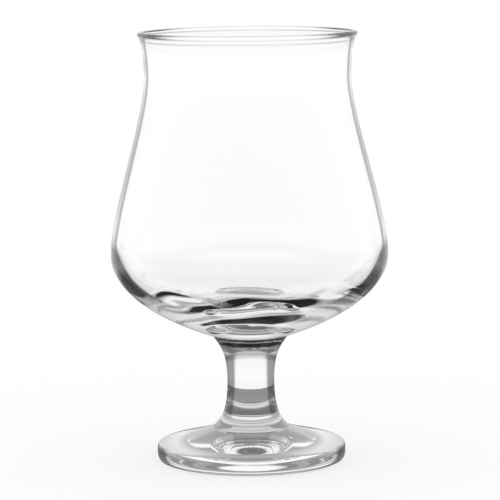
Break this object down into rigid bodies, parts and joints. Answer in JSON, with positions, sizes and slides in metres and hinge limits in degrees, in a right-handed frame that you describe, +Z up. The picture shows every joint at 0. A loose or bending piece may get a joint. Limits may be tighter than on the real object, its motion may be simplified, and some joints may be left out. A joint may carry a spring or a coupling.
{
  "type": "stemmed chalice beer glass",
  "caption": "Clear stemmed chalice beer glass with a flared rim, narrow neck, low wide belly, heavy base, short waisted stem and round foot.",
  "frame": {"origin": "on the axis of the glass, in the plane of the standing ring under the foot", "axes": "+Z up along the axis of the glass, from the foot to the rim; X and Y are free, because the glass is round"},
  "size_m": [0.0966, 0.0966, 0.15],
  "materials": {
    "bowl_glass": "clear, fire-polished",
    "stem_glass": "clear, pressed and fire-polished",
    "foot_glass": "clear, pressed and fire-polished"
  },
  "bodies": {
    "root": {"bowl": "bowl_glass", "stem": "stem_glass", "foot": "foot_glass"}
  },
  "joints": []
}
